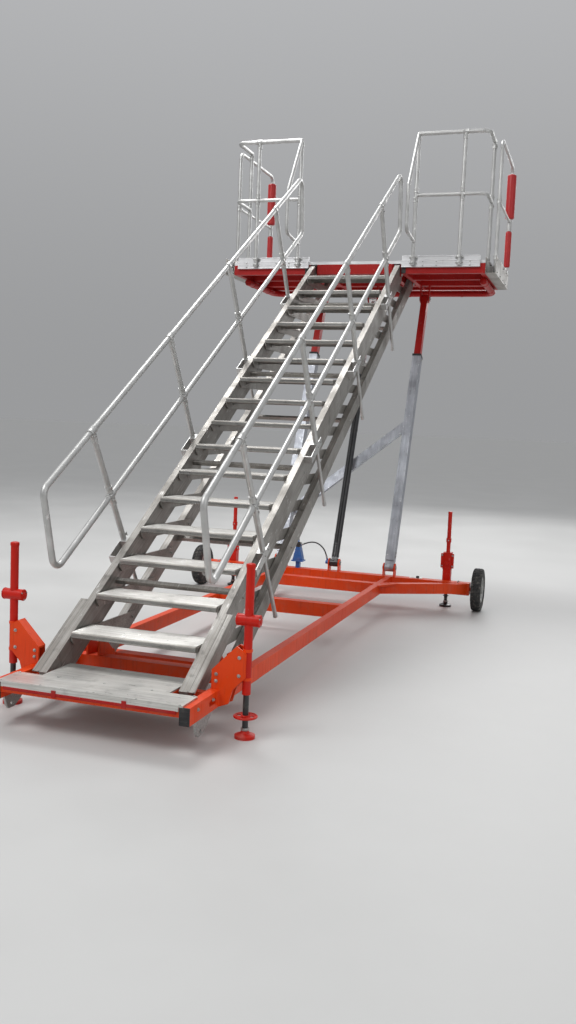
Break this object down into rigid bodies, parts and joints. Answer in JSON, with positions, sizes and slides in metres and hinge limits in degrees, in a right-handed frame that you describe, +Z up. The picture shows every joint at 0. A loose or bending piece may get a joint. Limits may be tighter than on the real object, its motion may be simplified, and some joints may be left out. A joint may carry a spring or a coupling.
{
  "type": "variable height access platform",
  "caption": "Wheeled aircraft maintenance stair with self-levelling treads, a guarded platform, telescopic legs, lift cylinder and screw jacks.",
  "frame": {"origin": "on the floor, midway along and across the whole machine", "axes": "+Y up the stair towards the aircraft, +X to the right of someone climbing, +Z up"},
  "size_m": [3.1, 6.675, 4.776],
  "materials": {
    "orange_paint": "gloss",
    "red_paint": "gloss",
    "tread_aluminium": "satin",
    "stringer_aluminium": "satin",
    "tube_aluminium": "satin",
    "deck_aluminium": "satin",
    "steel": "satin",
    "black_rubber": "matt",
    "tyre": "matt",
    "black_paint": "gloss",
    "chrome": "polished",
    "blue_paint": "gloss",
    "red_pad": "satin"
  },
  "bodies": {
    "chassis": {"chassis_rails": "orange_paint", "end_caps": "black_rubber", "cross_members": "orange_paint", "foot_carriers": "orange_paint", "base_plate": "tread_aluminium", "axle_beam": "orange_paint", "tow_lugs": "steel", "front_jack_brackets": "orange_paint", "front_jack_tubes": "red_paint", "rear_jack_tubes": "red_paint", "pump": "blue_paint", "pump_hose": "black_rubber"},
    "wheel_left": {"tyre_left": "tyre", "rim_left": "steel"},
    "wheel_right": {"tyre_right": "tyre", "rim_right": "steel"},
    "stair": {"stringer_left": "stringer_aluminium", "stringer_right": "stringer_aluminium", "stair_ties": "stringer_aluminium", "handrail_left": "tube_aluminium", "handrail_right": "tube_aluminium"},
    "links": {"link_tubes": "stringer_aluminium"},
    "platform": {"frame_longitudinals": "red_paint", "frame_crossbars": "red_paint", "frame_hangers": "red_paint", "deck": "deck_aluminium", "toe_boards": "deck_aluminium", "side_guides": "deck_aluminium", "guard_left": "tube_aluminium", "guard_right": "tube_aluminium", "bumper": "red_paint"},
    "slide_guard_left": {"slide_guard_left": "tube_aluminium", "pad_sleeve_left": "red_pad"},
    "slide_guard_right": {"slide_guard_right": "tube_aluminium", "pad_sleeve_right": "red_pad"},
    "legs": {"leg_outers": "deck_aluminium"},
    "leg_slides": {"leg_inners": "red_paint"},
    "barrel": {"lift_barrel": "black_paint"},
    "rod": {"lift_rod": "chrome"},
    "front_jack_foot_left": {"front_jack_foot_left": "red_paint"},
    "front_jack_foot_right": {"front_jack_foot_right": "red_paint"},
    "rear_jack_foot_left": {"rear_jack_foot_left": "red_paint"},
    "rear_jack_foot_right": {"rear_jack_foot_right": "red_paint"},
    "tread_01": {"tread_01": "tread_aluminium"},
    "tread_02": {"tread_02": "tread_aluminium"},
    "tread_03": {"tread_03": "tread_aluminium"},
    "tread_04": {"tread_04": "tread_aluminium"},
    "tread_05": {"tread_05": "tread_aluminium"},
    "tread_06": {"tread_06": "tread_aluminium"},
    "tread_07": {"tread_07": "tread_aluminium"},
    "tread_08": {"tread_08": "tread_aluminium"},
    "tread_09": {"tread_09": "tread_aluminium"},
    "tread_10": {"tread_10": "tread_aluminium"},
    "tread_11": {"tread_11": "tread_aluminium"},
    "tread_12": {"tread_12": "tread_aluminium"},
    "tread_13": {"tread_13": "tread_aluminium"},
    "tread_14": {"tread_14": "tread_aluminium"},
    "tread_15": {"tread_15": "tread_aluminium"},
    "tread_16": {"tread_16": "tread_aluminium"}
  },
  "joints": [
    {"name": "stair_lift", "type": "hinge", "parent": "chassis", "child": "stair", "pos_m": [0, -2.9475, 0.23], "axis": [1, 0, 0], "range_deg": [-11, 4]},
    {"name": "link_swing", "type": "hinge", "parent": "chassis", "child": "links", "pos_m": [0, -2.3075, 0.23], "axis": [1, 0, 0], "range_deg": [-11.2, 4.2]},
    {"name": "platform_level", "type": "hinge", "parent": "stair", "child": "platform", "pos_m": [0, 2.0215, 3.37703], "axis": [1, 0, 0], "range_deg": [-4.2, 11.2]},
    {"name": "tread_01_level", "type": "hinge", "parent": "stair", "child": "tread_01", "pos_m": [0, -2.6475, 0.42], "axis": [1, 0, 0], "range_deg": [-4.2, 11.2]},
    {"name": "tread_02_level", "type": "hinge", "parent": "stair", "child": "tread_02", "pos_m": [0, -2.3475, 0.61], "axis": [1, 0, 0], "range_deg": [-4.2, 11.2]},
    {"name": "tread_03_level", "type": "hinge", "parent": "stair", "child": "tread_03", "pos_m": [0, -2.0475, 0.8], "axis": [1, 0, 0], "range_deg": [-4.2, 11.2]},
    {"name": "tread_04_level", "type": "hinge", "parent": "stair", "child": "tread_04", "pos_m": [0, -1.7475, 0.99], "axis": [1, 0, 0], "range_deg": [-4.2, 11.2]},
    {"name": "tread_05_level", "type": "hinge", "parent": "stair", "child": "tread_05", "pos_m": [0, -1.4475, 1.18], "axis": [1, 0, 0], "range_deg": [-4.2, 11.2]},
    {"name": "tread_06_level", "type": "hinge", "parent": "stair", "child": "tread_06", "pos_m": [0, -1.1475, 1.37], "axis": [1, 0, 0], "range_deg": [-4.2, 11.2]},
    {"name": "tread_07_level", "type": "hinge", "parent": "stair", "child": "tread_07", "pos_m": [0, -0.8475, 1.56], "axis": [1, 0, 0], "range_deg": [-4.2, 11.2]},
    {"name": "tread_08_level", "type": "hinge", "parent": "stair", "child": "tread_08", "pos_m": [0, -0.5475, 1.75], "axis": [1, 0, 0], "range_deg": [-4.2, 11.2]},
    {"name": "tread_09_level", "type": "hinge", "parent": "stair", "child": "tread_09", "pos_m": [0, -0.2475, 1.94], "axis": [1, 0, 0], "range_deg": [-4.2, 11.2]},
    {"name": "tread_10_level", "type": "hinge", "parent": "stair", "child": "tread_10", "pos_m": [0, 0.0525, 2.13], "axis": [1, 0, 0], "range_deg": [-4.2, 11.2]},
    {"name": "tread_11_level", "type": "hinge", "parent": "stair", "child": "tread_11", "pos_m": [0, 0.3525, 2.32], "axis": [1, 0, 0], "range_deg": [-4.2, 11.2]},
    {"name": "tread_12_level", "type": "hinge", "parent": "stair", "child": "tread_12", "pos_m": [0, 0.6525, 2.51], "axis": [1, 0, 0], "range_deg": [-4.2, 11.2]},
    {"name": "tread_13_level", "type": "hinge", "parent": "stair", "child": "tread_13", "pos_m": [0, 0.9525, 2.7], "axis": [1, 0, 0], "range_deg": [-4.2, 11.2]},
    {"name": "tread_14_level", "type": "hinge", "parent": "stair", "child": "tread_14", "pos_m": [0, 1.2525, 2.89], "axis": [1, 0, 0], "range_deg": [-4.2, 11.2]},
    {"name": "tread_15_level", "type": "hinge", "parent": "stair", "child": "tread_15", "pos_m": [0, 1.5525, 3.08], "axis": [1, 0, 0], "range_deg": [-4.2, 11.2]},
    {"name": "tread_16_level", "type": "hinge", "parent": "stair", "child": "tread_16", "pos_m": [0, 1.8525, 3.27], "axis": [1, 0, 0], "range_deg": [-4.2, 11.2]},
    {"name": "leg_swing", "type": "hinge", "parent": "chassis", "child": "legs", "pos_m": [0, 1.7275, 0.36], "axis": [1, 0, 0], "range_deg": [-19.04, 7.24]},
    {"name": "leg_slide", "type": "slide", "parent": "legs", "child": "leg_slides", "axis": [0, 0.3736, 0.9276], "range_m": [-0.624, 0.233]},
    {"name": "barrel_swing", "type": "hinge", "parent": "chassis", "child": "barrel", "pos_m": [0, 1.7275, 0.36], "axis": [1, 0, 0], "range_deg": [-19.04, 7.24]},
    {"name": "rod_slide", "type": "slide", "parent": "barrel", "child": "rod", "axis": [0, 0.3736, 0.9276], "range_m": [-0.624, 0.233]},
    {"name": "wheel_spin_left", "type": "hinge", "parent": "chassis", "child": "wheel_left", "pos_m": [-1.5, 1.7275, 0.215], "axis": [1, 0, 0], "continuous": true},
    {"name": "slide_guard_left", "type": "slide", "parent": "platform", "child": "slide_guard_left", "axis": [0, 1, 0], "range_m": [-0.3, 0.15]},
    {"name": "front_jack_left", "type": "slide", "parent": "chassis", "child": "front_jack_foot_left", "axis": [0, 0, 1], "range_m": [0, 0.12]},
    {"name": "rear_jack_left", "type": "slide", "parent": "chassis", "child": "rear_jack_foot_left", "axis": [0, 0, 1], "range_m": [0, 0.12]},
    {"name": "wheel_spin_right", "type": "hinge", "parent": "chassis", "child": "wheel_right", "pos_m": [1.5, 1.7275, 0.215], "axis": [1, 0, 0], "continuous": true},
    {"name": "slide_guard_right", "type": "slide", "parent": "platform", "child": "slide_guard_right", "axis": [0, 1, 0], "range_m": [-0.3, 0.15]},
    {"name": "front_jack_right", "type": "slide", "parent": "chassis", "child": "front_jack_foot_right", "axis": [0, 0, 1], "range_m": [0, 0.12]},
    {"name": "rear_jack_right", "type": "slide", "parent": "chassis", "child": "rear_jack_foot_right", "axis": [0, 0, 1], "range_m": [0, 0.12]}
  ],
  "couplings": [
    {"joint": "link_swing", "follows": "stair_lift", "ratio": 1},
    {"joint": "platform_level", "follows": "stair_lift", "ratio": -1},
    {"joint": "tread_01_level", "follows": "stair_lift", "ratio": -1},
    {"joint": "tread_02_level", "follows": "stair_lift", "ratio": -1},
    {"joint": "tread_03_level", "follows": "stair_lift", "ratio": -1},
    {"joint": "tread_04_level", "follows": "stair_lift", "ratio": -1},
    {"joint": "tread_05_level", "follows": "stair_lift", "ratio": -1},
    {"joint": "tread_06_level", "follows": "stair_lift", "ratio": -1},
    {"joint": "tread_07_level", "follows": "stair_lift", "ratio": -1},
    {"joint": "tread_08_level", "follows": "stair_lift", "ratio": -1},
    {"joint": "tread_09_level", "follows": "stair_lift", "ratio": -1},
    {"joint": "tread_10_level", "follows": "stair_lift", "ratio": -1},
    {"joint": "tread_11_level", "follows": "stair_lift", "ratio": -1},
    {"joint": "tread_12_level", "follows": "stair_lift", "ratio": -1},
    {"joint": "tread_13_level", "follows": "stair_lift", "ratio": -1},
    {"joint": "tread_14_level", "follows": "stair_lift", "ratio": -1},
    {"joint": "tread_15_level", "follows": "stair_lift", "ratio": -1},
    {"joint": "tread_16_level", "follows": "stair_lift", "ratio": -1},
    {"joint": "leg_swing", "follows": "stair_lift", "ratio": 1.685},
    {"joint": "leg_slide", "follows": "stair_lift", "m_per_rad": 3.2},
    {"joint": "barrel_swing", "follows": "stair_lift", "ratio": 1.685},
    {"joint": "rod_slide", "follows": "stair_lift", "m_per_rad": 3.2}
  ]
}
